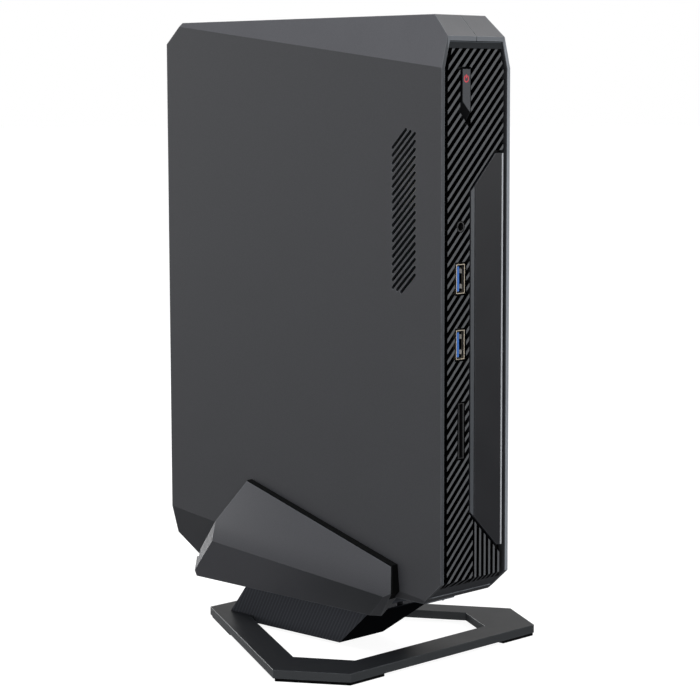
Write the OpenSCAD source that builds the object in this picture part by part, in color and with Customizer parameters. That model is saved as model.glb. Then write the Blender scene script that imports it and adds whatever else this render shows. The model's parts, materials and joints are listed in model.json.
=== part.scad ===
// Slim tower mini pc standing in a winged cradle stand.
// Millimetres, +Z up. The origin is the centre of the footprint, on the desk.
// The front faces -Y. Most modules work in the tower's own heights, where z = 0
// is the underside of the tower, and in_tower() lifts them to their place.

/* [Tower body] */
// Width across the two shells
body_w = 46; // [46:1:50]
// Depth from front rim to rear rim
body_d = 180; // [180:1:184]
// Height of the tower without its stand
body_h = 262; // [262:1:266]
// Wall thickness of the shells
wall = 2; // [1.8:0.1:2.2]
// Leg of the corner cut at top front, and the bottom rear cut's leg along the height
cut_a = 9.6; // [8:0.2:11]
// Leg along the depth of the cut at bottom rear
cut_c_y = 12.8; // [9.6:0.2:13]
// Leg along the depth of the cuts at bottom front and top rear
cut_b_y = 11.2; // [10:0.2:12]
// Leg along the height of the cuts at bottom front and top rear
cut_b_z = 10.1; // [9:0.1:11]
// Height of the leaning facet at the front top corner
facet_h = 23.4; // [20:0.2:26]
// Rise of the facet's crease per millimetre of depth
facet_rise = 0.127; // [0.1:0.001:0.13]
// Lean of the facet per millimetre of height
facet_lean = 0.28; // [0.2:0.01:0.3]
// Width of the rim round the front and rear openings
rim = 2; // [1.8:0.1:2.4]

/* [Front face] */
// Depth of the rib tops behind the rim
rib_recess = 0.5; // [0.3:0.1:1]
// Vertical distance between the diagonal ribs
rib_pitch = 4.78; // [4.6:0.02:5]
// Width of one rib
rib_w = 1.35; // [1:0.05:1.6]
// Depth of the floor between the ribs behind the rim
rib_floor = 3.6; // [3:0.1:4]
// Distance between the upright ribs at the bottom right
upright_pitch = 3.19; // [3:0.01:3.3]
// Travel of the power button
button_travel = 0.6; // [0.4:0.1:0.6]

/* [Side vents] */
// Number of slots in each side vent
vent_count = 21; // [15:1:21]
// Vertical distance between the slots
vent_pitch = 3.465; // [3.3:0.005:3.5]
// Width of one slot
vent_w = 1.5; // [0.8:0.05:1.6]

/* [Stand] */
// Height of the tower's underside above the desk
lift = 30.9; // [30.9:0.1:30.9]
// Thickness of the base ring
ring_t = 4; // [3.5:0.1:4]
// Thickness of the rubber feet
foot_t = 1.4; // [1.4:0.1:1.4]
// Gap between each side of the tower and the cradle's liner
cradle_gap = 0.3; // [0.2:0.1:0.5]

/* [Cooling] */
// Radius of each fan rotor
rotor_r = 35; // [30:1:35]
// Number of blades on each rotor
blade_count = 29; // [17:2:31]
// Distance between cooling fins
fin_pitch = 1.7; // [1.6:0.1:2.2]

/* [Hidden] */
$fn = 64;

// Tower outline
front_y = -body_d / 2;
rear_y = body_d / 2;
half_open = body_w / 2 - rim;
bend_z = body_h - facet_h;
open_top = body_h - cut_a - rim;
seam_gap = 0.3;
fit_gap = 0.15;
wrap_y = front_y + 8.7;
reach = 400;

// Front face levels, measured along the depth
rib_y = front_y + rib_recess;
floor_y = front_y + rib_floor;
plate_t = 1.5;
back_y = floor_y + plate_t;
filter_t = 0.6;
rib_top = body_h - 14.8;
rib_left = -18.4;
rib_right = 19.1;
rib_start = 33.0;
accent_left = -3.0;
accent_bevel = -0.85;
accent_right = 17.5;
accent_top = 201;
accent_low = 22.9;

// Ports on the front face
port_x = -9.7;
usb_w = 5.6;
usb_h = 13.1;
usb_skin = 0.35;
front_usb_z = [116.7, 146.0];
jack_z = 169.1;
jack_r = 1.8;
jack_ring_r = 2.4;
card_z = 78;
button_z = 228;
button_outline = [[-9.2, 219.6], [-4.1, 213.9], [-4.1, 238.1], [-9.2, 238.1]];
button_hole_outline = [[-9.6, 219.4], [-3.7, 212.8], [-3.7, 238.5], [-9.6, 238.5]];
button_flange = [[-10.0, 219.2], [-3.3, 211.7], [-3.3, 238.9], [-10.0, 238.9]];
button_pocket = [[-10.2, 219.1], [-3.2, 211.3], [-3.2, 239.1], [-10.2, 239.1]];
button_face_low = [[-9.2, 224.1], [-4.1, 219.2]];
stem_x = -8.6;
icon_x = -6.75;
icon_z = 233.9;
icon_t = 0.4;
icon_r = 1.65;
icon_line = 0.56;

// Boards
pcb_face = -6.9;
pcb_t = 1.6;
pcb_back = pcb_face + pcb_t;
board_front = -56;
board_rear = 79;
board_low = 14;
board_high = 248;
stud_yz = [[-48, 22], [-48, 240], [70, 20], [70, 242], [50, 131], [-53, 131]];

// Ports on the rear face
rear_face = rear_y - 1.5;
rear_usb_z = [78, 97];
net_z = 56;
hdmi_z = 121;
display_z = 144;
usb_c_z = 164;
dc_z = 34;
exhaust_low = [41, 159];
exhaust_slots = 16;

// Cooling
fan_y = 20;
upper_fan_z = 190;
lower_fan_z = 72;
fan_half = 42;
fan_cavity = 38;
fan_base = pcb_back + 1;
fan_top = fan_base + 15;
shaft_r = 1.5;
shaft_gap = 0.05;
pipe_r = 3;
pipe_x = 7;
pipe_bend = 8;
pipe_rear = 73;
pipe_run_z = 140;
pipe_end_z = 220;
fin_front = fan_y + fan_half + 0.2;
fin_rear = 79;
fin_half = 34;
chip_y = -38;
cpu_z = 160;
gpu_z = 90;
tray_x = 12.6;
tray_t = 1.2;

// Stand, in the tower's heights
desk = -lift;
ring_low = desk + foot_t;
ring_high = ring_low + ring_t;
cradle_low = -10.1;
flange_top = -6.4;
seat_top = -3;
skirt_t = 0.8;
liner_in = body_w / 2 + cradle_gap;
liner_t = 2.2;
liner_low = -0.2;
skin_in = liner_in + liner_t;
ring_outer = [[63.2, -73], [81.6, -43], [18, 68], [-18, 68], [-81.6, -43], [-63.2, -73]];
ring_inner = [[44.8, -57.8], [59.3, -33], [18.5, 38.6], [-18.5, 38.6], [-59.3, -33], [-44.8, -57.8]];
neck_side = [[-45, cradle_low], [37.4, cradle_low], [59, ring_low], [-19, ring_low]];
neck_front = [[-22.7, cradle_low], [22.7, cradle_low], [15, ring_low], [-15, ring_low]];
wing_side = [
  [31.5, 43.7], [51.4, 21.8], [73, 0.3], [73.7, -7], [73.5, cradle_low],
  [-52, cradle_low], [-65.1, 3.7], [-64, 16]
];
wing_skin_side = [[80, 57], [80, -20], [-52, -20], [-52, cradle_low], [-64.3, 2.9], [-63.3, 15.3]];
wing_crest = [-26, 31.5, 43.7];
wing_crease_rear = [-30, 53, 11.5];
wing_crease_front = [-28.5, -60, 1.2];
wing_hem = [-23.4, 0, cradle_low];
wing_rear_top = [-28.85, 51.4, 21.8];
wing_rear_low = [-22, 73, 0.3];
wing_nose_top = [-28.1, -65.1, 3.7];
wing_nose_low = [-24.35, -47.3, cradle_low];
wing_in = 21;
liner_rear = 58;
cradle_screw_xy = [[-12, -25], [12, -25], [-12, 22], [12, 22]];
base_screw_xy = [[-8, 46], [8, 46]];
shell_screw_xy = [[-10, -60], [10, -60], [-10, 55], [10, 55]];

// ---------- helpers ----------

module in_tower() translate([0, 0, lift]) children();

// The rear of the tower is its front turned half a turn about the X axis
module turned() translate([0, 0, body_h]) rotate([180, 0, 0]) children();

module mirrored() mirror([1, 0, 0]) children();

module both_sides() {
  children();
  mirrored() children();
}

// A block from its lowest corner to its highest
module block(low, high) translate(low) cube(high - low);

// A prism along X whose outline is in depth and height
module prism_x(x0, x1, outline) {
  translate([x0, 0, 0]) rotate([90, 0, 90]) linear_extrude(x1 - x0) polygon(outline);
}

// A prism along Y whose outline is in width and height
module prism_y(y0, y1, outline) {
  translate([0, y1, 0]) rotate([90, 0, 0]) linear_extrude(y1 - y0) polygon(outline);
}

module rod_x(x0, x1, y, z, r) translate([x0, y, z]) rotate([0, 90, 0]) cylinder(h = x1 - x0, r = r);

module rod_y(y0, y1, x, z, r) translate([x, y0, z]) rotate([-90, 0, 0]) cylinder(h = y1 - y0, r = r);

module rod_z(z0, z1, x, y, r) translate([x, y, z0]) cylinder(h = z1 - z0, r = r);

// Everything on the outer side of the plane through a point with a normal
module beyond(point, normal) {
  unit = normal / norm(normal);
  translate(point)
    rotate([0, acos(unit.z), atan2(unit.y, unit.x)])
      translate([-reach / 2, -reach / 2, 0]) cube([reach, reach, reach / 4]);
}

// Everything on the outer side of the plane through three points
module beyond3(a, b, c) beyond(a, cross(b - a, c - a));

// ---------- tower shells ----------

// Scale of a corner cut's legs when the outline moves inwards
function leg_scale(a, b, inset) = 1 + inset * (sqrt(1 / (a * a) + 1 / (b * b)) - 1 / a - 1 / b);

function side_outline(inset) = let(
  y = body_d / 2 - inset,
  z = body_h / 2 - inset,
  a = cut_a * leg_scale(cut_a, cut_a, inset),
  by = cut_b_y * leg_scale(cut_b_y, cut_b_z, inset),
  bz = cut_b_z * leg_scale(cut_b_y, cut_b_z, inset),
  cy = cut_c_y * leg_scale(cut_c_y, cut_a, inset),
  cz = cut_a * leg_scale(cut_c_y, cut_a, inset)
) [[-y, bz - z], [-y, z - a], [a - y, z], [y - by, z], [y, z - bz], [y, cz - z], [y - cy, -z], [by - y, -z]];

module facet_block(inset) {
  normal = [1, -facet_lean * facet_rise, facet_lean];
  corner = [body_w / 2, front_y, body_h / 2 - facet_h];
  beyond(corner - inset * normal / norm(normal), normal);
}

// The tower's outer form, or its form moved inwards
module envelope(inset) translate([0, 0, body_h / 2]) difference() {
  prism_x(inset - body_w / 2, body_w / 2 - inset, side_outline(inset));
  both_sides() facet_block(inset);
  rotate([180, 0, 0]) both_sides() facet_block(inset);
}

function opening_outline(inset) = let(
  x = half_open - inset,
  top = open_top - inset,
  x_top = x - facet_lean * (top - bend_z)
) [[-x, -5], [x, -5], [x, bend_z], [x_top, top], [-x_top, top], [-x, bend_z]];

module rim_opening() prism_y(front_y - 1, wrap_y, opening_outline(0));

// One slanted slot with round ends, between two depths
module vent_slot(y0, y1, sum) {
  length = (y1 - y0) * sqrt(2);
  translate([-body_w / 2 - 1, y1, sum - y1]) rotate([-45, 0, 0]) {
    translate([0, -length, -vent_w / 2]) cube([wall + 2, length, vent_w]);
    for (y = [0, -length]) translate([0, y, 0]) rotate([0, 90, 0]) cylinder(h = wall + 2, d = vent_w, $fn = 24);
  }
}

// The vent near the front edge of the left side, its end slots shortened
module side_vent() {
  for (k = [0:vent_count - 1]) {
    front_end = max(-74.1, -68.8 - 2.66 * k);
    rear_end = min(-60.9, -66.1 + 2.6 * (vent_count - 1 - k));
    vent_slot(front_end, rear_end, 142.9 - vent_pitch * k);
  }
}

module shell_screw_holes() {
  for (p = shell_screw_xy) {
    rod_z(-1, 1, p.x, p.y, 3);
    rod_z(-1, wall + 1, p.x, p.y, 1.6);
  }
}

module hollow_body() difference() {
  envelope(0);
  envelope(wall);
  rim_opening();
  turned() rim_opening();
  both_sides() side_vent();
  shell_screw_holes();
}

module left_shell() color("#46474b") in_tower() {
  difference() {
    hollow_body();
    block([-seam_gap / 2, -reach, -reach], [reach, reach, reach]);
  }
  difference() {
    translate([0, 0, -skirt_t]) linear_extrude(skirt_t)
      polygon([[-20, -78], [-seam_gap, -78], [-seam_gap, 76], [-15.5, 76]]);
    shell_screw_holes();
  }
}

module right_shell() color("#46474b") in_tower() difference() {
  hollow_body();
  block([-reach, -reach, -reach], [seam_gap / 2, reach, reach]);
}

module shell_screws() color("silver") in_tower() for (p = shell_screw_xy) {
  rod_z(0.05, 1, p.x, p.y, 2.7);
  rod_z(1, 7, p.x, p.y, 1.45);
}

// ---------- front face ----------

// Height of the bottom front cut at a depth, a little inside the shells
function cut_z(y) = cut_b_z - (y - front_y) * cut_b_z / cut_b_y + 0.4;

// A panel that fills an opening and wraps round the bottom cut
module panel_blank(face, back) {
  outline = [
    [face, reach], [face, cut_z(face)], [wrap_y - fit_gap, cut_z(wrap_y)],
    [wrap_y - fit_gap, cut_z(wrap_y) + 2.2], [back, cut_z(back) + 2.8], [back, reach]
  ];
  intersection() {
    prism_y(front_y, wrap_y, opening_outline(fit_gap));
    prism_x(-body_w, body_w, outline);
  }
}

accent_outline = [
  [accent_right, accent_top], [13.3, accent_top], [accent_left, 184.7],
  [accent_left, 40.3], [15, 23.1], [accent_right, accent_low]
];

// Where the diagonal ribs may run: left of the accent panel, and all across above it
rib_field = [
  [rib_left, -5], [-0.9, -5], [-0.9, 37.2], [-3.7, 39.9], [-3.7, 185.6],
  [13.0, 202.3], [rib_right, 202.3], [rib_right, 237.5], [16.4, rib_top],
  [-15.6, rib_top], [rib_left, 237.5]
];

module diagonal_ribs() intersection() {
  prism_y(rib_y, floor_y, rib_field);
  union() for (start = [rib_start - 4 * rib_pitch - 20:rib_pitch:rib_top + 20]) {
    half_z = rib_w / sqrt(2);
    prism_y(rib_y, floor_y, [
      [rib_left, start + rib_left - half_z], [rib_right, start + rib_right - half_z],
      [rib_right, start + rib_right + half_z], [rib_left, start + rib_left + half_z]
    ]);
  }
}

// Upright ribs below the accent panel's slanted lower edge
module upright_ribs() for (k = [0:5]) {
  x = 1 + upright_pitch * k;
  top = 39.6 - 0.956 * (x - accent_left);
  prism_y(rib_y, floor_y, [
    [x - rib_w / 2, -5], [x + rib_w / 2, -5],
    [x + rib_w / 2, top - rib_w], [x - rib_w / 2, top]
  ]);
}

// Space kept clear of ribs round the ports and the button, down to the floor
module port_pockets() {
  for (z = front_usb_z) {
    block([port_x - 3.7, front_y - 1, z - 7.4], [port_x + 3.9, floor_y, z + 7.4]);
  }
  block([port_x - 1.9, front_y - 1, card_z - 13.1], [port_x + 3.2, floor_y, card_z + 13.1]);
  rod_y(front_y - 1, floor_y, port_x, jack_z, jack_ring_r + 0.3);
  prism_y(front_y - 1, floor_y, button_pocket);
}

// Holes through the floor for what sits behind the front face
module port_holes(gap) {
  for (z = front_usb_z) {
    block(
      [port_x - usb_w / 2 - gap, floor_y - 1, z - usb_h / 2 - gap],
      [port_x + usb_w / 2 + gap, back_y + 1, z + usb_h / 2 + gap]
    );
  }
  block([port_x - 1.2 - gap, floor_y - 1, card_z - 12.4 - gap], [port_x + 2.5 + gap, back_y + 1, card_z + 12.4 + gap]);
  rod_y(floor_y - 1, back_y + 1, port_x, jack_z, jack_ring_r + gap);
}

module button_hole() prism_y(floor_y - 1, back_y + 1, button_hole_outline);

// Air windows in the floor, bridged by the ribs
module air_windows() {
  block([-16.8, floor_y - 1, 202], [-11.4, back_y + 1, 236]);
  block([-1.8, floor_y - 1, 206], [17.4, back_y + 1, 236]);
  for (z = [16, 46, 96]) block([-16.8, floor_y - 1, z], [-4.6, back_y + 1, z + 11]);
  block([-16.8, floor_y - 1, 177], [-4.6, back_y + 1, 208]);
}

module front_grille() color("#1b1c1e") in_tower() {
  difference() {
    panel_blank(rib_y, back_y);
    block([-reach, front_y - 1, -reach], [reach, floor_y, rib_top]);
    port_holes(0.2);
    button_hole();
    air_windows();
  }
  difference() {
    intersection() {
      union() {
        diagonal_ribs();
        upright_ribs();
      }
      panel_blank(rib_y, back_y);
    }
    port_pockets();
  }
}

module dust_filter() color("#0a0a0b") in_tower() difference() {
  prism_y(back_y, back_y + filter_t, [[-18.5, 14], [18.5, 14], [18.5, 240.5], [-18.5, 240.5]]);
  translate([0, plate_t, 0]) port_holes(0.4);
  prism_y(back_y - 1, back_y + filter_t + 1, [[-10.6, 211], [-2.6, 211], [-2.6, 239.6], [-10.6, 239.6]]);
}

module accent_panel() color("#303134") in_tower() difference() {
  prism_y(front_y, floor_y, accent_outline);
  beyond3([accent_left, rib_y, 0], [accent_bevel, front_y, 0], [accent_left, rib_y, 10]);
  block([accent_bevel, front_y - 1, 0], [accent_bevel + 0.35, front_y + 0.6, body_h]);
}

module accent_strip() color("#c9cbce") in_tower() {
  block([accent_right + 0.15, front_y, accent_low], [accent_right + 1.0, floor_y, accent_top - 0.1]);
}

// ---------- shared socket shapes ----------

// A rectangular USB socket's metal shell, its mouth towards -Y, with two leaf springs inside
module usb_shell(mouth, z) {
  inner = port_x + usb_w / 2 - usb_skin;
  difference() {
    block([port_x - usb_w / 2, mouth, z - usb_h / 2], [port_x + usb_w / 2, mouth + 17, z + usb_h / 2]);
    block(
      [port_x - usb_w / 2 + usb_skin, mouth - 1, z - usb_h / 2 + usb_skin],
      [inner, mouth + 15.4, z + usb_h / 2 - usb_skin]
    );
  }
  for (dz = [-3.4, 3.4]) {
    translate([0, 0, z + dz - 1]) linear_extrude(2)
      polygon([[inner + 0.1, mouth + 1], [inner - 0.6, mouth + 3.4], [inner - 0.6, mouth + 4], [inner + 0.1, mouth + 7]]);
  }
}

// The insulator in that socket: a tongue on a rear block
module usb_tongue(mouth, z) {
  left = port_x - usb_w / 2 + usb_skin + 0.05;
  right = port_x + usb_w / 2 - usb_skin - 0.05;
  half = usb_h / 2 - usb_skin - 0.05;
  block([left + 0.5, mouth + 0.8, z - 5.5], [left + 2.3, mouth + 12.4, z + 5.5]);
  block([left, mouth + 12.4, z - half], [right, mouth + 15.3, z + half]);
}

module front_usb_shells() color("#b9b1a4") in_tower() for (z = front_usb_z) usb_shell(rib_y, z);

module front_usb_tongues() color("#2f6fd0") in_tower() for (z = front_usb_z) usb_tongue(rib_y, z);

// Rear sockets face +Y, so they are front ones mirrored along the depth
module facing_rear() mirror([0, 1, 0]) children();

module rear_usb_shells() color("#b9b1a4") in_tower() facing_rear() {
  for (z = rear_usb_z) usb_shell(-rear_face - 0.4, z);
}

module rear_usb_tongues() color("#2f6fd0") in_tower() facing_rear() {
  for (z = rear_usb_z) usb_tongue(-rear_face - 0.4, z);
}

module audio_jack() color("#202124") in_tower() difference() {
  union() {
    rod_y(rib_y, back_y + 1, port_x, jack_z, jack_ring_r);
    block([port_x - 3.1, back_y + 0.9, jack_z - 3.2], [pcb_face, -72, jack_z + 3.2]);
  }
  rod_y(rib_y - 1, rib_y + 13.5, port_x, jack_z, jack_r);
}

module sd_reader() color("#232427") in_tower() difference() {
  union() {
    block([port_x - 1.2, rib_y, card_z - 12.4], [port_x + 2.5, back_y + 1, card_z + 12.4]);
    block([port_x - 1.6, back_y + 0.9, card_z - 14], [pcb_face, -60.5, card_z + 14]);
  }
  block([port_x - 0.6, rib_y - 1, card_z - 12.15], [port_x + 1.7, -62, card_z + 12.15]);
}

module front_io_board() color("#17492f") in_tower() difference() {
  block([pcb_face, -82, 58], [pcb_back, -60, 246]);
  for (z = [104, 188]) rod_x(pcb_face - 1, pcb_back + 1, -66, z, 1.6);
}

module power_switch() color("#55565a") in_tower() {
  block([-9.9, -78.2, button_z - 3], [pcb_face, -74, button_z + 3]);
  rod_y(-79.5, -78.2, stem_x, button_z, 1.5);
}

module ribbon_cable() color("#d9d4c4") in_tower() {
  prism_x(pcb_face - 2.2, pcb_face, [[-64, 176], [-61, 176], [-61, 200], [-64, 200]]);
  prism_x(pcb_face - 2.2, pcb_face, [[-55, 176], [-52, 176], [-52, 200], [-55, 200]]);
  block([pcb_face - 1.4, -61, 177], [pcb_face - 1, -55, 199]);
}

// ---------- power button ----------

// An open ring with a short bar, the common standby sign
module standby_sign(y0, y1) {
  difference() {
    rod_y(y0, y1, icon_x, icon_z, icon_r);
    rod_y(y0 - 1, y1 + 1, icon_x, icon_z, icon_r - icon_line);
    block([icon_x - icon_line, y0 - 1, icon_z], [icon_x + icon_line, y1 + 1, icon_z + 2]);
  }
  block([icon_x - icon_line / 2, y0, icon_z + 0.2], [icon_x + icon_line / 2, y1, icon_z + icon_r + 0.3]);
}

module power_button() color("#5a5c60") in_tower() difference() {
  union() {
    prism_y(front_y, back_y + 0.5, button_outline);
    prism_y(back_y + 0.5, back_y + 1.4, button_flange);
    rod_y(back_y + 1.4, -79.8 - button_travel, stem_x, button_z, 1.3);
  }
  // The facet below the face slants back to the floor of the grille
  beyond3(
    [button_face_low[0].x, front_y, button_face_low[0].y],
    [button_outline[1].x, floor_y, button_outline[1].y],
    [button_face_low[1].x, front_y, button_face_low[1].y]
  );
  standby_sign(front_y - 1, front_y + icon_t);
}

module power_icon() color("#e0304a") in_tower() standby_sign(front_y, front_y + icon_t);

// ---------- rear face ----------

module rear_panel() color("#2b2c2f") in_tower() difference() {
  turned() panel_blank(-rear_face, -rear_face + 2.1);
  facing_rear() for (z = rear_usb_z) {
    block([port_x - 3, -reach, z - 6.75], [port_x + 3, 0, z + 6.75]);
  }
  block([-20.4, 0, net_z - 8.2], [-6.6, reach, net_z + 8.2]);
  block([-13.2, 0, hdmi_z - 7.7], [-6.6, reach, hdmi_z + 7.7]);
  block([-13.2, 0, display_z - 8.5], [-6.6, reach, display_z + 8.5]);
  block([-10.6, 0, usb_c_z - 4.7], [-6.9, reach, usb_c_z + 4.7]);
  rod_y(0, reach, -11.4, dc_z, 4.2);
  for (low = exhaust_low, k = [0:exhaust_slots - 1]) {
    block([0.5, 0, low + 4 * k], [17.5, reach, low + 4 * k + 2.4]);
  }
  for (k = [0:9]) block([-17.5, 0, 180 + 4 * k], [-5.5, reach, 182.4 + 4 * k]);
}

// A rectangular socket facing the rear, with a hollow and a tongue in it
module rear_socket(z, low_x, high_x, height, skin, tongue, depth) {
  mouth = rear_face + 0.3;
  difference() {
    block([low_x, mouth - depth - 1.5, z - height / 2], [high_x, mouth, z + height / 2]);
    block([low_x + skin, mouth - depth, z - height / 2 + skin], [high_x - skin, mouth + 1, z + height / 2 - skin]);
  }
  middle = (low_x + high_x) / 2;
  block(
    [middle - tongue / 2, mouth - depth, z - height / 2 + skin + 1],
    [middle + tongue / 2, mouth - 0.8, z + height / 2 - skin - 1]
  );
}

module network_jack() color("#8f9296") in_tower() difference() {
  block([-20.2, rear_face - 15, net_z - 8], [pcb_face, rear_face + 0.3, net_z + 8]);
  block([-17.6, rear_face - 12, net_z - 5.9], [-9.6, rear_face + 1, net_z + 5.9]);
  block([-19, rear_face - 12, net_z - 3.1], [-17.5, rear_face + 1, net_z + 3.1]);
}

module hdmi_socket() color("#a7a9ac") in_tower() rear_socket(hdmi_z, -13, pcb_face, 15, 0.5, 1.4, 12);

module display_socket() color("#a7a9ac") in_tower() rear_socket(display_z, -13, pcb_face, 16.6, 0.5, 1.5, 12);

module usb_c_socket() color("#a7a9ac") in_tower() rear_socket(usb_c_z, -10.2, pcb_face, 9, 0.35, 0.7, 10);

module dc_jack() color("#17181a") in_tower() {
  difference() {
    union() {
      rod_y(rear_face - 3, rear_face + 0.3, -11.4, dc_z, 4);
      block([-15.9, rear_face - 13, dc_z - 4.5], [pcb_face, rear_face - 2.9, dc_z + 4.5]);
    }
    rod_y(rear_face - 10, rear_face + 1, -11.4, dc_z, 2.85);
  }
  rod_y(rear_face - 10, rear_face - 1, -11.4, dc_z, 1.2);
}

// ---------- boards ----------

module motherboard() color("#14502f") in_tower() difference() {
  prism_x(pcb_face, pcb_back, [
    [board_front, board_low], [board_rear - 6, board_low], [board_rear, board_low + 6],
    [board_rear, board_high - 8], [board_rear - 8, board_high], [board_front, board_high]
  ]);
  for (p = stud_yz) rod_x(pcb_face - 1, pcb_back + 1, p.x, p.y, 1.6);
}

// Chips, coils and capacitors on the left face of the board
module board_components() color("#2c2d30") in_tower() {
  for (k = [0:5]) block([pcb_face - 3.6, 40, 160 + 9 * k], [pcb_face, 47, 167 + 9 * k]);
  for (k = [0:5]) rod_x(pcb_face - 5, pcb_face, 54, 163.5 + 9 * k, 3);
  block([pcb_face - 1.3, 40, 100], [pcb_face, 60, 120]);
  block([pcb_face - 1.1, 0, 220], [pcb_face, 12, 232]);
  block([pcb_face - 1.1, 44, 62], [pcb_face, 53, 71]);
  for (k = [0:7]) block([pcb_face - 0.8, -40 + 8 * k, 30], [pcb_face, -36 + 8 * k, 33]);
}

// A package with its bare die, on the right face of the board
module chip(z, size, die) {
  block([pcb_back, chip_y - size / 2, z - size / 2], [pcb_back + 1.4, chip_y + size / 2, z + size / 2]);
  block([pcb_back + 1.4, chip_y - die / 2, z - die / 2], [pcb_back + 2, chip_y + die / 2, z + die / 2]);
}

module processor() color("#3d5f48") in_tower() chip(cpu_z, 27, 13);

module graphics_chip() color("#3d5f48") in_tower() chip(gpu_z, 29, 16);

module cold_plate(z) color("#b87348") in_tower() difference() {
  block([pcb_back + 2, chip_y - 15, z - 14], [pipe_x - pipe_r, chip_y + 15, z + 14]);
  for (y = [chip_y - 13, chip_y + 13], dz = [-12, 12]) rod_x(-reach, reach, y, z + dz, 1.2);
}

module processor_cold_plate() cold_plate(cpu_z);

module graphics_cold_plate() cold_plate(gpu_z);

// A quarter bend of pipe in the depth and height plane, turned by an angle
module pipe_quarter(y, z, turn) {
  translate([pipe_x, y, z]) rotate([turn, 0, 0]) rotate([0, 90, 0])
    rotate_extrude(angle = 90) translate([pipe_bend, 0]) circle(r = pipe_r);
}

// A pipe that runs down from its chip, to the rear, then up through the fins
module heat_pipe(chip_end) {
  bend_z = pipe_run_z + pipe_bend;
  rod_z(bend_z, chip_end, pipe_x, chip_y, pipe_r);
  pipe_quarter(chip_y + pipe_bend, bend_z, 270);
  rod_y(chip_y + pipe_bend, pipe_rear - pipe_bend, pipe_x, pipe_run_z, pipe_r);
  pipe_quarter(pipe_rear - pipe_bend, bend_z, 0);
  rod_z(bend_z, pipe_end_z, pipe_x, pipe_rear, pipe_r);
}

module upper_heat_pipe() color("#c07a4c") in_tower() heat_pipe(cpu_z + 12);

module lower_heat_pipe() color("#c07a4c") in_tower() {
  translate([0, 0, body_h]) mirror([0, 0, 1]) heat_pipe(body_h - gpu_z + 12);
}

module shared_heat_pipe() color("#c07a4c") in_tower() rod_z(gpu_z - 12, cpu_z + 12, pipe_x, chip_y - 8, pipe_r);

module fin_stack(z) color("#9fa2a6") in_tower() difference() {
  union() {
    for (dz = [-fin_half:fin_pitch:fin_half]) {
      block([fan_base, fin_front, z + dz - 0.2], [fan_top, fin_rear, z + dz + 0.2]);
    }
    block([fan_base, fin_front, z - fin_half], [fan_base + 0.5, fin_rear, z + fin_half]);
    block([fan_top - 0.5, fin_front, z - fin_half], [fan_top, fin_rear, z + fin_half]);
  }
  block([pipe_x - pipe_r, pipe_rear - pipe_r - 0.05, 0], [reach, pipe_rear + pipe_r + 0.05, body_h]);
}

module upper_fin_stack() fin_stack(upper_fan_z);

module lower_fin_stack() fin_stack(lower_fan_z);

// ---------- fans ----------

module fan_housing(z) color("#26272a") in_tower() {
  difference() {
    block([fan_base, fan_y - fan_half, z - fan_half], [fan_top - 1, fan_y + fan_half, z + fan_half]);
    rod_x(fan_base + 1, fan_top, fan_y, z, fan_cavity);
    block([fan_base + 1, fan_y, z - fin_half], [fan_top, fan_y + fan_half + 1, z + fin_half]);
    for (dy = [-1, 1], dz = [-1, 1]) {
      translate([-reach / 2, fan_y + dy * fan_half, z + dz * fan_half])
        rotate([45, 0, 0]) translate([0, -7, -7]) cube([reach, 14, 14]);
    }
  }
  rod_x(fan_base + 0.9, fan_top - 2.6, fan_y, z, shaft_r);
}

module fan_cover(z) color("#3a3b3f") in_tower() difference() {
  block([fan_top - 1, fan_y - fan_half + 1, z - fin_half], [fan_top, fan_y + fan_half, z + fin_half]);
  rod_x(0, reach, fan_y, z, 25);
}

module fan_rotor(z) color("#1e1f22") in_tower() {
  low = fan_base + 1.6;
  high = fan_top - 1.6;
  difference() {
    rod_x(low, high, fan_y, z, 14);
    rod_x(low - 1, high - 0.7, fan_y, z, shaft_r + shaft_gap);
  }
  for (k = [0:blade_count - 1]) {
    translate([low + 1, fan_y, z]) rotate([k * 360 / blade_count, 0, 0])
      translate([0, 12.5, 3]) rotate([-22, 0, 0]) cube([high - low - 2, rotor_r - 14, 0.9]);
  }
}

module upper_fan_housing() fan_housing(upper_fan_z);

module lower_fan_housing() fan_housing(lower_fan_z);

module upper_fan_cover() fan_cover(upper_fan_z);

module lower_fan_cover() fan_cover(lower_fan_z);

module upper_fan_rotor() fan_rotor(upper_fan_z);

module lower_fan_rotor() fan_rotor(lower_fan_z);

// ---------- cards ----------

memory_y = [-48, -8];

module memory_sockets() color("#1c1d1f") in_tower() for (y = memory_y) difference() {
  union() {
    block([pcb_face - 4, y, 94], [pcb_face, y + 6, 168]);
    for (z = [94, 166.6]) block([pcb_face - 3.4, y + 6, z], [pcb_face, y + 30, z + 1.4]);
  }
  block([pcb_face - 2.55, y + 4, 95.9], [pcb_face - 1.15, y + 40, 166.1]);
}

module memory_modules() color("#1f6b3a") in_tower() for (y = memory_y) {
  block([pcb_face - 2.4, y + 4.2, 96.2], [pcb_face - 1.3, y + 34, 165.8]);
  for (k = [0:3]) block([pcb_face - 3.4, y + 14, 99 + 17 * k], [pcb_face - 2.4, y + 28, 111 + 17 * k]);
}

// A card that lies along the board, in an edge socket at its front end
module edge_card(y, z, length) {
  difference() {
    block([pcb_face - 4, y, z - 11], [pcb_face, y + 5, z + 11]);
    block([pcb_face - 2.85, y + 2, z - 11.2], [pcb_face - 1.95, y + 6, z + 11.2]);
  }
  block([pcb_face - 2.8, y + 2.2, z - 11], [pcb_face - 2, y + 2.2 + length, z + 11]);
  rod_x(pcb_face - 2, pcb_face, y + 1 + length, z, 2);
}

module ssd_drive() color("#1b1c1e") in_tower() {
  edge_card(-50, 70, 80);
  block([pcb_face - 4.2, -42, 60.5], [pcb_face - 2.8, 26, 79.5]);
}

module wifi_card() color("#22543a") in_tower() {
  edge_card(-50, 200, 30);
  block([pcb_face - 4, -42, 191], [pcb_face - 2.8, -26, 209]);
}

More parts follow.
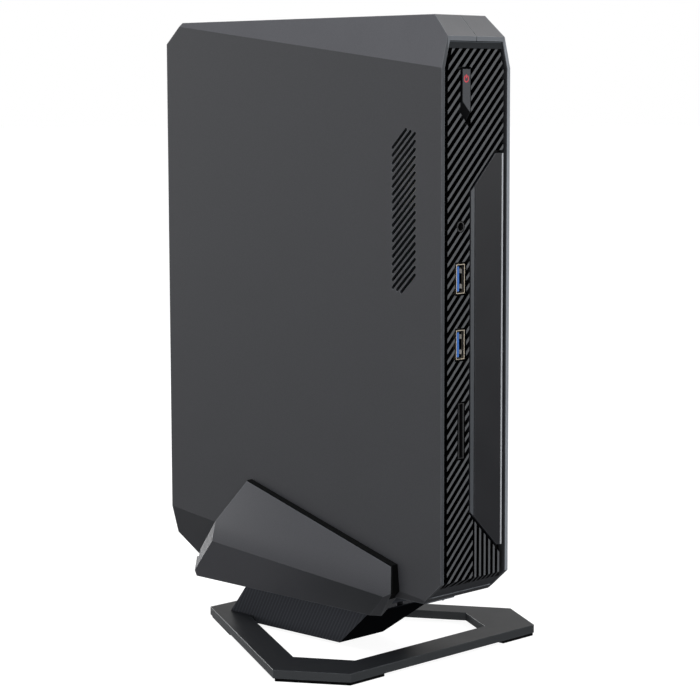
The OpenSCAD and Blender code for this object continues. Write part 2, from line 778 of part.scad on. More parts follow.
module coin_cell() color("#c5c7ca") in_tower() {
  rod_x(pcb_face - 4.4, pcb_face - 1.2, 60, 232, 8);
  difference() {
    rod_x(pcb_face - 3.4, pcb_face, 60, 232, 9.6);
    rod_x(pcb_face - 5, pcb_face - 1.2, 60, 232, 8.1);
  }
}

// ---------- frame inside the tower ----------

module chassis_tray() color("#8a8d91") in_tower() difference() {
  union() {
    prism_x(tray_x, tray_x + tray_t, [
      [-78, 12], [-70, 2.1], [70, 2.1], [78, 12], [78, 250], [70, 259.9], [-70, 259.9], [-78, 250]
    ]);
    block([-14, -70, 2.1], [tray_x + tray_t, 70, 3.3]);
    block([-13, -70, 258.7], [tray_x + tray_t, 70, 259.9]);
  }
  for (z = [upper_fan_z, lower_fan_z]) rod_x(0, reach, fan_y, z, 26);
  for (z = [30, 90]) block([0, -70, z], [reach, -60, z + 40]);
  for (p = stud_yz) rod_x(0, reach, p.x, p.y, 1.6);
  for (p = shell_screw_xy) rod_z(0, 10, p.x, p.y, 1.5);
}

module standoffs() color("#c9a85c") in_tower() for (p = stud_yz) difference() {
  translate([pcb_back, p.x, p.y]) rotate([0, 90, 0]) cylinder(h = tray_x - pcb_back, r = 2.9, $fn = 6);
  rod_x(pcb_back - 1, tray_x + 1, p.x, p.y, 1.5);
}

// One screw from each end of every standoff
module board_screws() color("silver") in_tower() for (p = stud_yz) {
  rod_x(pcb_face - 1.7, pcb_face, p.x, p.y, 2.7);
  rod_x(pcb_face, pcb_back + 5, p.x, p.y, 1.45);
  rod_x(tray_x + tray_t, tray_x + tray_t + 1.7, p.x, p.y, 2.7);
  rod_x(tray_x - 5, tray_x + tray_t, p.x, p.y, 1.45);
}

// ---------- stand ----------

module ring_slab() translate([0, 0, ring_low]) linear_extrude(ring_t) difference() {
  polygon(ring_outer);
  polygon(ring_inner);
}

module base_ring() color("#4d4e50") in_tower() difference() {
  ring_slab();
  for (p = base_screw_xy) {
    rod_z(desk, ring_low + 2, p.x, p.y, 3);
    rod_z(desk, ring_high + 1, p.x, p.y, 1.6);
  }
}

module stand_neck() color("#28292c") in_tower() difference() {
  intersection() {
    prism_x(-30, 30, neck_side);
    prism_y(-60, 70, neck_front);
  }
  block([-30, 38.6, ring_low - 1], [30, 80, ring_high]);
  for (p = base_screw_xy) rod_z(desk, -20.4, p.x, p.y, 1.5);
  for (p = cradle_screw_xy) rod_z(-17, 0, p.x, p.y, 1.5);
}

// The wing's outer form, between its outer faces and a given inner limit
module wing_form(inner) difference() {
  prism_x(-31, -inner, wing_side);
  beyond3(wing_crease_rear, wing_crease_front, wing_crest);
  beyond3(wing_crease_front, wing_crease_rear, wing_hem);
  beyond3(wing_crease_rear, wing_rear_top, wing_rear_low);
  beyond3(wing_crease_front, wing_nose_low, wing_nose_top);
}

// The room in the wing for the tower and the liner
module wing_room() {
  block([-skin_in, -reach, liner_low], [0, liner_rear, reach]);
  block([-liner_in, -reach, liner_low], [0, reach, reach]);
}

module wing() difference() {
  union() {
    intersection() {
      difference() {
        wing_form(wing_in);
        wing_room();
      }
      prism_x(-31, 0, wing_skin_side);
    }
    block([-wing_in - 1, -44, cradle_low], [-2, 36, flange_top]);
  }
  for (p = cradle_screw_xy) rod_z(-20, 0, p.x, p.y, 1.6);
}

module left_wing() color("#4d4e52") in_tower() wing();

module right_wing() color("#4d4e52") in_tower() mirrored() wing();

// Rubber between the wing and the tower, wrapped over the wing's top and front edges
module liner() {
  intersection() {
    wing_form(liner_in);
    block([-skin_in, -reach, liner_low], [-liner_in, liner_rear, reach]);
  }
  difference() {
    wing_form(liner_in);
    prism_x(-32, 0, wing_skin_side);
    block([-reach, liner_rear, -reach], [reach, reach, reach]);
    block([-reach, -reach, -reach], [reach, reach, liner_low]);
  }
}

module left_liner() color("#0c0d0e") in_tower() liner();

module right_liner() color("#0c0d0e") in_tower() mirrored() liner();

module seat_block() color("#1d1e20") in_tower() difference() {
  block([-20.9, -50, flange_top], [20.9, 52, seat_top]);
  for (p = cradle_screw_xy) {
    rod_z(-20, 0, p.x, p.y, 1.6);
    rod_z(seat_top - 1.8, 0, p.x, p.y, 3);
  }
}

module seat_pads() color("#0c0d0e") in_tower() {
  block([-18, -48, seat_top], [-1, 48, -skirt_t - 0.1]);
  block([1, -48, seat_top], [18, 48, -0.1]);
}

module cradle_screws() color("silver") in_tower() for (p = cradle_screw_xy) {
  rod_z(seat_top - 1.8, seat_top, p.x, p.y, 2.7);
  rod_z(-16.5, seat_top - 1.8, p.x, p.y, 1.45);
}

module base_screws() color("silver") in_tower() for (p = base_screw_xy) {
  rod_z(ring_low + 0.2, ring_low + 2, p.x, p.y, 2.7);
  rod_z(ring_low + 2, -20.6, p.x, p.y, 1.45);
}

// Thin rubber pads under the four corners of the ring
module stand_feet() color("#08090a") in_tower() both_sides() translate([0, 0, desk]) linear_extrude(foot_t) {
  polygon([[41, -72.6], [62.9, -72.6], [80.9, -43.2], [74.4, -41.5], [60, -65], [41, -65]]);
  polygon([[17.5, 67.2], [37, 33.4], [31, 30], [11.5, 63.8], [11.5, 67.2]]);
}

base_ring();
stand_neck();
left_wing();
right_wing();
left_liner();
right_liner();
seat_block();
seat_pads();
stand_feet();
cradle_screws();
base_screws();
left_shell();
right_shell();
front_grille();
dust_filter();
accent_panel();
accent_strip();
front_usb_shells();
front_usb_tongues();
audio_jack();
sd_reader();
front_io_board();
power_switch();
ribbon_cable();
power_button();
power_icon();
rear_panel();
rear_usb_shells();
rear_usb_tongues();
network_jack();
hdmi_socket();
display_socket();
usb_c_socket();
dc_jack();
motherboard();
board_components();
processor();
graphics_chip();
processor_cold_plate();
graphics_cold_plate();
upper_heat_pipe();
lower_heat_pipe();
shared_heat_pipe();
upper_fin_stack();
lower_fin_stack();
upper_fan_housing();
lower_fan_housing();
upper_fan_cover();
lower_fan_cover();
upper_fan_rotor();
lower_fan_rotor();
memory_sockets();
memory_modules();
ssd_drive();
wifi_card();
coin_cell();
chassis_tray();
standoffs();
board_screws();
shell_screws();
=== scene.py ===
import json
import math

import bpy
from mathutils import Euler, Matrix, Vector


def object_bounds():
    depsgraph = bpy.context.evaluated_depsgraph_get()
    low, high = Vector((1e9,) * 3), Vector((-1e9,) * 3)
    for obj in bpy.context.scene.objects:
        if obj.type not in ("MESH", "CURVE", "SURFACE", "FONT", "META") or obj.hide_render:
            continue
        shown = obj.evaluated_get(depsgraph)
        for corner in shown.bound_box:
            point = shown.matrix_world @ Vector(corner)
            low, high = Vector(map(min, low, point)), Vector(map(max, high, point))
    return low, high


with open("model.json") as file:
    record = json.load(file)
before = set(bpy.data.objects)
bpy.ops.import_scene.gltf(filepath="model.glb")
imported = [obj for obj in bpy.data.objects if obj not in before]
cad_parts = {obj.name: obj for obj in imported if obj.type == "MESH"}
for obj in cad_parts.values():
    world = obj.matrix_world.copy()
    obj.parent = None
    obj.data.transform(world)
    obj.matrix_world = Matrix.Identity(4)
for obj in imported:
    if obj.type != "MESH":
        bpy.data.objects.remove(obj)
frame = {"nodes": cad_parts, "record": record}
cad_low, cad_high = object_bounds()
nodes = frame["nodes"]

# ---------- the camera ----------

VIEW_AZIMUTH = -45.88                      # degrees, 0 looks along +Y
VIEW_ELEVATION = 6.5                       # degrees, how far it looks down
VIEW_ROLL = -0.165                         # degrees
VIEW_PLACE = (-0.7423, -0.7317, 0.2563)    # metres
LENS_MM = 113.5
SENSOR_MM = 36


def add_camera():
    data = bpy.data.cameras.new("camera")
    data.lens = LENS_MM
    data.sensor_width = SENSOR_MM
    data.clip_start, data.clip_end = 0.05, 20
    camera = bpy.data.objects.new("camera", data)
    camera.location = VIEW_PLACE
    tilt = Euler((math.radians(90 - VIEW_ELEVATION), 0, math.radians(VIEW_AZIMUTH)))
    roll = Euler((0, 0, math.radians(VIEW_ROLL)))
    camera.rotation_euler = (tilt.to_matrix() @ roll.to_matrix()).to_euler()
    bpy.context.scene.collection.objects.link(camera)
    bpy.context.scene.camera = camera


# ---------- material helpers ----------

MM = 0.001


def linear(*srgb):
    """A colour given as 0 to 255 on a screen, as the shader's linear values."""
    share = [value / 255 for value in srgb]
    return tuple(s / 12.92 if s <= 0.04045 else ((s + 0.055) / 1.055) ** 2.4 for s in share)


class Graph:
    """One material's node tree, with short calls for the nodes that the materials here use."""

    def __init__(self, name):
        self.material = bpy.data.materials.new(name)
        self.material.use_nodes = True
        self.tree = self.material.node_tree
        self.shader = self.tree.nodes["Principled BSDF"]
        coords = self.add("ShaderNodeTexCoord")
        self.place = coords.outputs["Object"]
        self.own_normal = coords.outputs["Normal"]
        self.normal = self.add("ShaderNodeNewGeometry").outputs["Normal"]

    def add(self, kind, **settings):
        node = self.tree.nodes.new(kind)
        for key, value in settings.items():
            setattr(node, key, value)
        return node

    def feed(self, socket, value):
        if isinstance(value, bpy.types.NodeSocket):
            self.tree.links.new(value, socket)
        elif isinstance(value, tuple) and socket.type == "RGBA":
            socket.default_value = (*value, 1)
        else:
            socket.default_value = value

    def math(self, operation, *values):
        node = self.add("ShaderNodeMath", operation=operation)
        for socket, value in zip(node.inputs, values):
            self.feed(socket, value)
        return node.outputs[0]

    def band(self, value, low, high, start=0.0, end=1.0):
        """value moved from low..high to start..end, smoothly and clamped."""
        node = self.add("ShaderNodeMapRange", interpolation_type="SMOOTHSTEP")
        for socket, number in zip(node.inputs, (value, low, high, start, end)):
            self.feed(socket, number)
        return node.outputs[0]

    def noise(self, size_mm, detail=2.0, stretch=(1, 1, 1)):
        """Even noise whose marks are about size_mm across, times stretch along X, Y and Z."""
        mapping = self.add("ShaderNodeMapping")
        mapping.inputs["Scale"].default_value = [1 / (size_mm * MM * s) for s in stretch]
        self.feed(mapping.inputs["Vector"], self.place)
        node = self.add("ShaderNodeTexNoise")
        self.feed(node.inputs["Vector"], mapping.outputs[0])
        node.inputs["Scale"].default_value = 1
        node.inputs["Detail"].default_value = detail
        return node.outputs["Fac"]

    def cells(self, size_mm):
        node = self.add("ShaderNodeTexVoronoi")
        self.feed(node.inputs["Vector"], self.place)
        node.inputs["Scale"].default_value = 1 / (size_mm * MM)
        return node.outputs["Distance"]

    def axis(self, letter):
        node = self.add("ShaderNodeSeparateXYZ")
        self.feed(node.inputs[0], self.place)
        return node.outputs[letter]

    def facing(self, direction, low=0.9, high=0.97):
        """1 on faces whose own normal points along a direction, 0 on the others."""
        dot = self.add("ShaderNodeVectorMath", operation="DOT_PRODUCT")
        self.feed(dot.inputs[0], self.own_normal)
        dot.inputs[1].default_value = direction
        return self.band(dot.outputs["Value"], low, high)

    def between(self, letter, low_mm, high_mm, soft_mm=0.05):
        """1 where a coordinate of the surface lies between two values."""
        value = self.axis(letter)
        above = self.band(value, (low_mm - soft_mm) * MM, low_mm * MM)
        below = self.band(value, high_mm * MM, (high_mm + soft_mm) * MM, 1, 0)
        return self.math("MULTIPLY", above, below)

    def both(self, *masks):
        result = masks[0]
        for mask in masks[1:]:
            result = self.math("MULTIPLY", result, mask)
        return result

    def stripes(self, pitch_mm, share, *directions):
        """Lines across each direction, pitch_mm apart: 1 on a line, 0 between lines."""
        lines = 0.0
        for direction in directions:
            along = self.add("ShaderNodeVectorMath", operation="DOT_PRODUCT")
            self.feed(along.inputs[0], self.place)
            along.inputs[1].default_value = Vector(direction).normalized()
            step = self.math("FRACT", self.math("DIVIDE", along.outputs["Value"], pitch_mm * MM))
            off = self.math("ABSOLUTE", self.math("SUBTRACT", step, 0.5))
            line = self.band(off, share / 2, share / 2 + 0.12, 1, 0)
            lines = self.math("MAXIMUM", lines, line)
        return lines

    def edges(self, radius_mm, low=0.004, high=0.05):
        """1 on convex and concave edges, 0 on faces."""
        bevel = self.add("ShaderNodeBevel", samples=4)
        bevel.inputs["Radius"].default_value = radius_mm * MM
        dot = self.add("ShaderNodeVectorMath", operation="DOT_PRODUCT")
        self.feed(dot.inputs[0], bevel.outputs[0])
        self.feed(dot.inputs[1], self.normal)
        return self.band(self.math("SUBTRACT", 1.0, dot.outputs["Value"]), low, high)

    def mix(self, factor, low, high):
        node = self.add("ShaderNodeMix", data_type="RGBA")
        self.feed(node.inputs["Factor"], factor)
        self.feed(node.inputs[6], low)
        self.feed(node.inputs[7], high)
        return node.outputs[2]

    def shaded(self, colour, factor):
        """A colour made lighter or darker by a factor."""
        node = self.add("ShaderNodeVectorMath", operation="SCALE")
        if isinstance(colour, tuple):
            node.inputs[0].default_value = colour
        else:
            self.tree.links.new(colour, node.inputs[0])
        self.feed(node.inputs["Scale"], factor)
        return node.outputs[0]

    def bump(self, height, depth_mm, under=None):
        node = self.add("ShaderNodeBump")
        node.inputs["Distance"].default_value = depth_mm * MM
        self.feed(node.inputs["Height"], height)
        if under is not None:
            self.feed(node.inputs["Normal"], under)
        return node.outputs[0]

    def finish(self, colour, roughness, normal=None, metallic=0.0, **constants):
        self.feed(self.shader.inputs["Base Color"], colour)
        self.feed(self.shader.inputs["Roughness"], roughness)
        self.feed(self.shader.inputs["Metallic"], metallic)
        if normal is not None:
            self.feed(self.shader.inputs["Normal"], normal)
        for name, value in constants.items():
            self.shader.inputs[name.replace("_", " ")].default_value = value
        return self.material


# ---------- materials ----------

def moulded(name, colour, edge_wear_and_highlight_colour, roughness=0.5, grain_mm=0.35, depth_mm=0.012, edge_wear_and_highlight_reach=0.5,
            zones=(), shine=0.5):
    """Moulded or painted plastic: spark grain, faint blotches, and lighter edges, partly wear and partly
    a painted highlight.

    The colour after the main one is that of the lighter edges, and the number after depth_mm is how far
    they go.
    zones holds pairs of a mask maker and the colour of the faces it marks."""
    g = Graph(name)
    grain = g.noise(grain_mm, 3)
    blotch = g.noise(22, 2)
    # Edges made lighter: partly wear, partly a painted highlight.
    edge_wear_and_highlight = g.math("MULTIPLY", g.edges(0.7), g.band(g.noise(5, 4), 0.35, 0.65, edge_wear_and_highlight_reach * 0.4, edge_wear_and_highlight_reach))
    base = colour
    for mask, paint in zones:
        base = g.mix(mask(g), base, paint)
    shade = g.math("MULTIPLY", g.band(grain, 0.3, 0.7, 0.9, 1.1), g.band(blotch, 0.1, 0.9, 0.97, 1.03))
    toned = g.shaded(base, shade)
    mottle = g.band(blotch, 0.1, 0.9, -0.03, 0.03)
    gloss = g.math("ADD", mottle, g.band(edge_wear_and_highlight, 0, 1, roughness, roughness - 0.12))
    return g.finish(g.mix(edge_wear_and_highlight, toned, edge_wear_and_highlight_colour), gloss, g.bump(grain, depth_mm), Specular_IOR_Level=shine)


def sheet_metal(name, colour, roughness=0.35, stretch=(1, 1, 14), depth_mm=0.004, zones=(), matt=None):
    """Bare or plated metal with fine drawn lines and a few darker smudges.

    matt marks the faces that are too small or too deep to mirror anything; making them non-metal is part
    of the painted shade inside the sockets."""
    g = Graph(name)
    lines = g.noise(0.18, 3, stretch)
    smudge = g.noise(9, 3)
    tone = g.mix(g.band(smudge, 0.4, 0.75, 0, 0.45), colour, tuple(0.55 * c for c in colour))
    for mask, paint in zones:
        tone = g.mix(mask(g), tone, paint)
    drawn = g.band(lines, 0.3, 0.7, roughness - 0.08, roughness + 0.08)
    rough = g.math("ADD", drawn, g.band(smudge, 0.4, 0.8, 0, 0.15))
    metallic = g.math("SUBTRACT", 1.0, matt(g)) if matt else 1.0
    return g.finish(tone, rough, g.bump(lines, depth_mm), metallic)


def circuit_board(name, mask, trace):
    """Solder mask with copper tracks under it, pads, and a fine surface."""
    g = Graph(name)
    lanes = g.stripes(1.6, 0.35, (0, 1, 0), (0, 0, 1))
    patches = g.band(g.noise(7, 1), 0.5, 0.53)
    track = g.math("MULTIPLY", lanes, patches)
    pads = g.band(g.cells(4.5), 0.13, 0.16, 1, 0)
    green = g.mix(track, mask, trace)
    tinned = g.math("MULTIPLY", pads, g.band(g.noise(14, 1), 0.52, 0.56))
    plated = g.mix(tinned, green, linear(190, 185, 165))
    height = g.math("ADD", track, g.math("MULTIPLY", g.noise(0.4), 0.2))
    return g.finish(plated, g.band(track, 0, 1, 0.38, 0.3), g.bump(height, 0.03))


def rubber(name, colour):
    """Matt rubber with a fine grain and a little dust along its edges."""
    g = Graph(name)
    grain = g.noise(0.25, 4)
    dust = g.math("MULTIPLY", g.edges(0.6), g.band(g.noise(2.5, 3), 0.4, 0.7))
    return g.finish(g.mix(g.band(dust, 0, 1, 0, 0.15), colour, linear(60, 60, 62)),
                    g.band(grain, 0.3, 0.7, 0.68, 0.86), g.bump(grain, 0.02), Specular_IOR_Level=0.1)


def filter_mesh(name):
    """A woven dust screen, as threads both ways."""
    g = Graph(name)
    threads = g.stripes(0.9, 0.4, (1, 0, 0), (0, 0, 1))
    tone = g.mix(threads, linear(3, 3, 3), linear(24, 24, 25))
    return g.finish(tone, g.band(g.noise(1.0), 0.3, 0.7, 0.75, 0.9), g.bump(threads, 0.15))


# ---------- zones: masks for the faces that have a tone of their own ----------

# Ranges along an axis, in millimetres in the object's own frame
LEFT_RIM_X, RIGHT_RIM_X = (-24, -19), (19, 24)
RIB_TOP_Y = (-89.8, -89.2)
RIBS_Z = (-50, 277.8)
PLAIN_BAND_Z = (277.8, 300)
BAND_LINE_Z = (280.75, 281.0)
REAR_FLAT_Y = (87, 90)
GROOVE_X = (-0.85, -0.5)
BEVEL_X = (-3.1, -0.85)
SPRINGS_X = (-7.95, -7.3)
SOCKET_DEPTH = (87.8, 88.5)    # either side of the middle: painted shade up to the first, plain past the second
DARKER_Y = (30, -60)           # where the painted shade on the wing's lower facet starts and stops getting darker

# Directions that faces point in
WING_LOW_FACET = (-0.87, 0, -0.49)
LEFT_TOP_FACET, RIGHT_TOP_FACET = (-0.963, 0.034, 0.27), (0.963, 0.034, 0.27)
NECK_FACE = (0, -0.6, -0.8)
FRONT_CUT = (0, -0.67, -0.74)
BEVEL_FACE = (-0.23, -0.97, 0)
FRONT, REAR = (0, -1, 0), (0, 1, 0)
UP, DOWN = (0, 0, 1), (0, 0, -1)

HATCH_PITCH_MM = 1.5
HATCH_ACROSS = (0, 0.75, 0.66)


def lit_rims(g):
    """The shells' narrow front and rear rim faces, painted lighter as faces lit by the lamps: painted
    light.
    """
    return g.math("MAXIMUM", g.facing(FRONT), g.facing(REAR))


# Painted light: the right-hand rim faces are painted lighter still, as the most brightly lit.
def lit_right_rim(g):
    return g.both(lit_rims(g), g.between("X", *RIGHT_RIM_X))


# Painted shade: the left-hand rim faces are painted darker, as turned from the light.
def shaded_left_rim(g):
    return g.both(lit_rims(g), g.between("X", *LEFT_RIM_X))


def not_front(g):
    """Everything but the button's front face."""
    return g.facing(REAR, -0.95, -0.8)


def shaded_depths(g):
    """Everything more than a little way into a socket on the front or the rear, painted dark as the
    shade inside: painted shade.
    """
    dark, clear = (level * MM for level in SOCKET_DEPTH)
    return g.band(g.math("ABSOLUTE", g.axis("Y")), dark, clear, 1, 0)


def springs(g):
    """The leaf springs in the USB shells."""
    return g.both(shaded_depths(g), g.between("X", *SPRINGS_X, 0.03))


def shaded_rear_chamfers(g):
    """The shells' bottom rear cut and lower leaning facets, which face the desk and are painted darker
    as in shade: painted shade.
    """
    return g.facing(DOWN, 0.1, 0.3)


def shaded_low_front(g):
    """The wing's lower facet, painted darker, more so towards the front: painted shade."""
    start, end = (level * MM for level in DARKER_Y)
    return g.both(g.facing(WING_LOW_FACET, 0.85, 0.95), g.band(g.axis("Y"), start, end))


def lit_leaning_facets(g):
    """The shells' upper facets, which lean inwards and are painted lighter as lit from above: painted
    light.
    """
    left = g.facing(LEFT_TOP_FACET, 0.985, 0.997)
    right = g.facing(RIGHT_TOP_FACET, 0.985, 0.997)
    return g.math("MAXIMUM", left, right)


def lit_ring_sides(g):
    """The ring's upright faces, painted lighter than its top as lit faces: painted light."""
    return g.both(g.facing(UP, -0.5, -0.3), g.facing(DOWN, -0.5, -0.3))


def shaded_neck_front(g):
    """The neck's overhanging front face, painted near black as in shade: painted shade."""
    return g.facing(NECK_FACE, 0.8, 0.9)


def lit_rib_tops(g):
    """The front faces of the grille's ribs, painted lighter as lit from the front: painted light."""
    return g.both(g.facing(FRONT), g.between("Y", *RIB_TOP_Y), g.between("Z", *RIBS_Z))


def front_band(g):
    """The grille's plain band above the ribs."""
    return g.both(g.between("Y", *RIB_TOP_Y), g.between("Z", *PLAIN_BAND_Z))


def band_line(g):
    """A fine light line across the plain band."""
    return g.both(g.between("Y", *RIB_TOP_Y), g.between("Z", *BAND_LINE_Z))


def rear_face(g):
    """The flat of the rear panel."""
    return g.both(g.facing(REAR), g.between("Y", *REAR_FLAT_Y))


def low_wrap(g):
    """The grille's plain edge round the bottom front cut."""
    return g.facing(FRONT_CUT, 0.9, 0.97)


def shaded_accent_groove(g):
    """A dark line beside the accent panel's bevel, painted as the shade in a groove: painted shade."""
    return g.between("X", *GROOVE_X)


def lit_accent_bevel(g):
    """The accent panel's bevelled left edge, painted lighter as a reflection of the light: painted
    reflection.
    """
    return g.both(g.facing(BEVEL_FACE, 0.99, 0.998), g.between("X", *BEVEL_X))


def hatch(g):
    """Fine slanted lines on the neck."""
    return g.stripes(HATCH_PITCH_MM, 0.5, HATCH_ACROSS)


# ---------- one maker per material slot ----------

MAKERS = {
    # Painted light and shade on the shells: rim faces and upper facets lighter as lit, the left rim and
    # the faces towards the desk darker as in shade.
    "shell_grey": lambda n: moulded(
        n, linear(66, 67, 71), linear(125, 130, 136), roughness=0.48, grain_mm=0.3, depth_mm=0.01,
        zones=[(lit_rims, linear(112, 117, 124)), (shaded_left_rim, linear(61, 65, 71)),
               (lit_right_rim, linear(152, 158, 166)), (lit_leaning_facets, linear(88, 89, 94)),
               (shaded_rear_chamfers, linear(60, 61, 65))]),
    # The wing's lower facet is painted darker towards the front: painted shade.
    "wing_grey": lambda n: moulded(
        n, linear(75, 76, 81), linear(125, 130, 136), roughness=0.48, grain_mm=0.3, depth_mm=0.01,
        zones=[(shaded_low_front, linear(48, 50, 54))]),
    # The ring's upright faces are painted lighter than its top: painted light.
    "ring_grey": lambda n: moulded(
        n, linear(26, 28, 31), linear(95, 99, 103), roughness=0.42, grain_mm=0.25, depth_mm=0.01,
        zones=[(lit_ring_sides, linear(54, 57, 60))], shine=0.3),
    # The neck's overhanging front face is painted near black: painted shade.
    "neck_black": lambda n: moulded(
        n, linear(78, 80, 86), linear(90, 92, 98), grain_mm=0.3, edge_wear_and_highlight_reach=0.2,
        zones=[(hatch, linear(67, 69, 74)), (shaded_neck_front, linear(14, 15, 18))], shine=0.0),
    "rubber_black": lambda n: rubber(n, linear(8, 9, 10)),
    "screw_steel": lambda n: sheet_metal(
        n, linear(175, 176, 178), roughness=0.3, stretch=(1, 1, 1)),
    # The grille's near-black colour stands for the shade in its grooves: painted shade. The rib tops are
    # painted lighter as lit faces: painted light.
    "grille_black": lambda n: moulded(
        n, linear(6, 6, 7), linear(70, 72, 76), roughness=0.45, grain_mm=0.25, depth_mm=0.006,
        edge_wear_and_highlight_reach=0.15,
        zones=[(lit_rib_tops, linear(102, 104, 107)), (front_band, linear(36, 40, 44)),
               (band_line, linear(88, 94, 100)), (low_wrap, linear(60, 62, 66)),
               (rear_face, linear(34, 36, 39))], shine=0.12),
    "filter_black": filter_mesh,
    # The accent bevel is painted lighter as a painted reflection, and the groove beside it dark as
    # painted shade.
    "accent_dark": lambda n: moulded(
        n, linear(37, 38, 42), linear(95, 98, 104), roughness=0.3, grain_mm=0.2, depth_mm=0.002,
        edge_wear_and_highlight_reach=0.4,
        zones=[(lit_accent_bevel, linear(84, 88, 93)), (shaded_accent_groove, linear(4, 4, 5))], shine=0.3),
    # The strip's near-white colour on a non-metal stands for the chrome's shine: painted reflection.
    "strip_chrome": lambda n: moulded(
        n, linear(200, 203, 209), linear(235, 237, 240), roughness=0.3, grain_mm=0.3, depth_mm=0.002,
        edge_wear_and_highlight_reach=0.3),
    # Deep inside the sockets the steel is painted near black and made non-metal: painted shade.
    "port_steel": lambda n: sheet_metal(
        n, linear(228, 216, 196), roughness=0.32, matt=shaded_depths,
        zones=[(shaded_depths, linear(8, 8, 10)), (springs, linear(245, 240, 230))]),
    # Deep inside the sockets the blue is painted near black: painted shade.
    "usb_blue": lambda n: moulded(
        n, linear(70, 130, 222), linear(110, 160, 235), roughness=0.42, grain_mm=0.2, depth_mm=0.004,
        edge_wear_and_highlight_reach=0.4, zones=[(shaded_depths, linear(6, 8, 14))], shine=0.2),
    "socket_black": lambda n: moulded(
        n, linear(26, 26, 28), linear(70, 72, 74), roughness=0.45, grain_mm=0.2, depth_mm=0.006,
        edge_wear_and_highlight_reach=0.4),
    "button_grey": lambda n: moulded(
        n, linear(84, 86, 90), linear(120, 124, 128), roughness=0.45, grain_mm=0.2, depth_mm=0.006,
        edge_wear_and_highlight_reach=0.15, zones=[(not_front, linear(18, 19, 21))], shine=0.15),
    "icon_red": lambda n: moulded(
        n, linear(235, 50, 70), linear(250, 110, 120), roughness=0.35, grain_mm=0.2, depth_mm=0.002,
        edge_wear_and_highlight_reach=0.3),
    "board_green": lambda n: circuit_board(n, mask=linear(18, 70, 44), trace=linear(30, 98, 62)),
    "chip_dark": lambda n: moulded(
        n, linear(40, 41, 44), linear(80, 82, 84), grain_mm=0.15, depth_mm=0.006, edge_wear_and_highlight_reach=0.4),
    "copper": lambda n: sheet_metal(n, linear(205, 135, 95), roughness=0.28),
    "fin_aluminium": lambda n: sheet_metal(
        n, linear(200, 202, 205), roughness=0.3, stretch=(1, 14, 1)),
    "fan_black": lambda n: moulded(
        n, linear(30, 30, 32), linear(70, 72, 74), roughness=0.45, grain_mm=0.3, depth_mm=0.008,
        edge_wear_and_highlight_reach=0.4),
    "fan_cover_steel": lambda n: sheet_metal(n, linear(150, 152, 155), roughness=0.36),
    "ribbon_cream": lambda n: moulded(
        n, linear(220, 214, 196), linear(240, 236, 222), grain_mm=0.4, depth_mm=0.004, edge_wear_and_highlight_reach=0.3),
    "cell_steel": lambda n: sheet_metal(n, linear(205, 206, 208), roughness=0.25),
    "brass": lambda n: sheet_metal(n, linear(205, 175, 105), roughness=0.3),
}


# ---------- finish of the CAD nodes ----------

BEVEL_MM = {"shell_grey": 0.35, "wing_grey": 0.35, "ring_grey": 0.35, "grille_black": 0.12,
            "accent_dark": 0.2, "neck_black": 0.3, "button_grey": 0.2, "rubber_black": 0.2,
            "port_steel": 0.08}
WELD_M = 1e-6            # corners closer than this are one
FLAT_DEGREES = 0.5       # triangles that turn less than this are one face
SHARP_DEGREES = 25       # edges that turn more than this are rounded


def soften(obj, width_mm):
    """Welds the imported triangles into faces, then rounds the edges slightly."""
    weld = obj.modifiers.new("weld", "WELD")
    weld.merge_threshold = WELD_M
    flat = obj.modifiers.new("faces", "DECIMATE")
    flat.decimate_type = "DISSOLVE"
    flat.angle_limit = math.radians(FLAT_DEGREES)
    bevel = obj.modifiers.new("edges", "BEVEL")
    bevel.width = width_mm * MM
    bevel.segments = 2
    bevel.limit_method = "ANGLE"
    bevel.angle_limit = math.radians(SHARP_DEGREES)
    bevel.use_clamp_overlap = True
    bevel.harden_normals = False


def dress_nodes():
    """Gives each node the material of its slot, and rounds the edges of the visible slots."""
    made = {}
    for row in frame["record"]["subparts"]:
        slot = row["material_slot"]
        if slot not in made:
            made[slot] = MAKERS[slot](slot)
        obj = nodes[row["node"]]
        obj.data.materials.clear()
        obj.data.materials.append(made[slot])
        if slot in BEVEL_MM:
            soften(obj, BEVEL_MM[slot])


# ---------- the stage ----------

FLOOR_HALF = 80.0        # metres, so that its edge is beyond the horizon of every view
FLOOR_GLOW = 0.93        # the lights bring it up to white, so a shadow still shows a little
SKY = 0.3                # light from above, against 1 at the horizon
GROUND = 0.19            # light from below
HORIZON = (              # height, where 0 is straight down and 1 straight up, and brightness
    (0.46, GROUND), (0.485, 1.0), (0.58, 1.0), (0.64, SKY),
)
LIGHTS = (               # name, place and size in metres, watts
    ("overhead", (-0.45, 0.0, 1.4), (0.9, 0.9), 13),
    ("right_top", (0.85, -0.15, 0.95), (0.6, 0.6), 3),
    ("behind", (0.15, 1.3, 0.2), (0.9, 0.5), 8),
    ("front", (0.5, -1.2, 0.5), (0.8, 0.8), 4),
    ("left_low", (-1.1, -0.5, 0.0), (0.8, 0.6), 2.5),
)


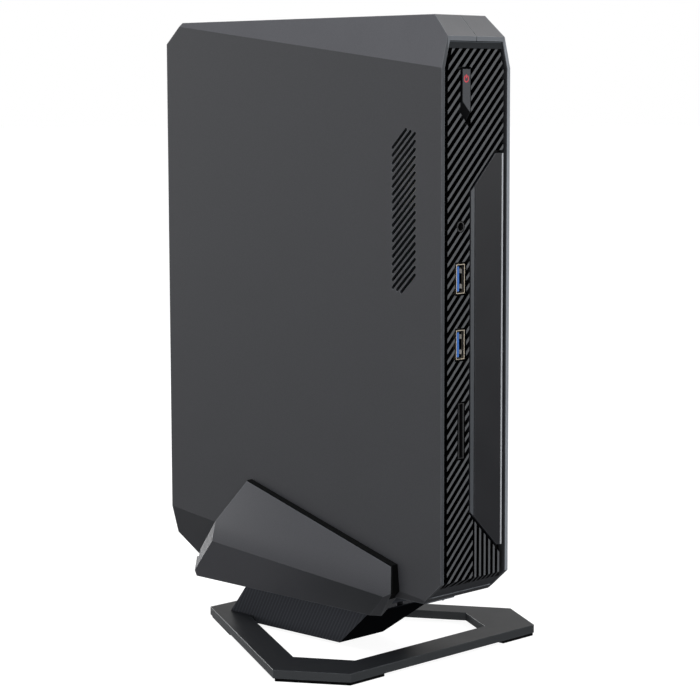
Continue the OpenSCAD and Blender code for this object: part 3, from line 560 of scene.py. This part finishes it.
def add_floor():
    """A white floor that catches a shadow but doesn't light or mirror the object."""
    mesh = bpy.data.meshes.new("floor")
    half = FLOOR_HALF
    corners = [(-half, -half, 0), (half, -half, 0), (half, half, 0), (-half, half, 0)]
    mesh.from_pydata(corners, [], [(0, 1, 2, 3)])
    floor = bpy.data.objects.new("floor", mesh)
    bpy.context.scene.collection.objects.link(floor)
    g = Graph("floor_white")
    g.shader.inputs["Emission Color"].default_value = (1, 1, 1, 1)
    g.finish((0.25, 0.25, 0.25), g.band(g.noise(60), 0.3, 0.7, 0.6, 0.7),
             Emission_Strength=FLOOR_GLOW, Specular_IOR_Level=0.1)
    mesh.materials.append(g.material)
    floor.visible_diffuse = False
    floor.visible_glossy = False


def add_light(name, place, target, size, power):
    data = bpy.data.lights.new(name, "AREA")
    data.shape = "RECTANGLE"
    data.size, data.size_y = size
    data.energy = power
    light = bpy.data.objects.new(name, data)
    light.location = place
    light.visible_camera = False
    light.rotation_euler = (Vector(target) - Vector(place)).to_track_quat("-Z", "Y").to_euler()
    bpy.context.scene.collection.objects.link(light)


def add_world():
    """A white horizon, a softer sky above it and a dim ground below it."""
    world = bpy.data.worlds.new("studio")
    world.use_nodes = True
    tree = world.node_tree
    coords = tree.nodes.new("ShaderNodeTexCoord")
    parts = tree.nodes.new("ShaderNodeSeparateXYZ")
    ramp = tree.nodes.new("ShaderNodeValToRGB")
    tree.links.new(coords.outputs["Generated"], parts.inputs[0])
    lift = tree.nodes.new("ShaderNodeMapRange")
    lift.inputs["From Min"].default_value, lift.inputs["From Max"].default_value = -1, 1
    tree.links.new(parts.outputs["Z"], lift.inputs["Value"])
    tree.links.new(lift.outputs[0], ramp.inputs[0])
    tree.links.new(ramp.outputs[0], tree.nodes["Background"].inputs["Color"])
    stops = ramp.color_ramp.elements
    stops[0].position, stops[0].color = 0.0, (GROUND, GROUND, GROUND, 1)
    stops[1].position, stops[1].color = 1.0, (SKY, SKY, SKY, 1)
    for place, level in HORIZON:
        stop = stops.new(place)
        stop.color = (level, level, level, 1)
    bpy.context.scene.world = world
    bpy.context.scene.view_settings.view_transform = "Standard"


middle = (cad_low + cad_high) / 2
add_camera()
dress_nodes()
add_floor()
add_world()
for name, place, size, watts in LIGHTS:
    add_light(name, place, middle, size, watts)
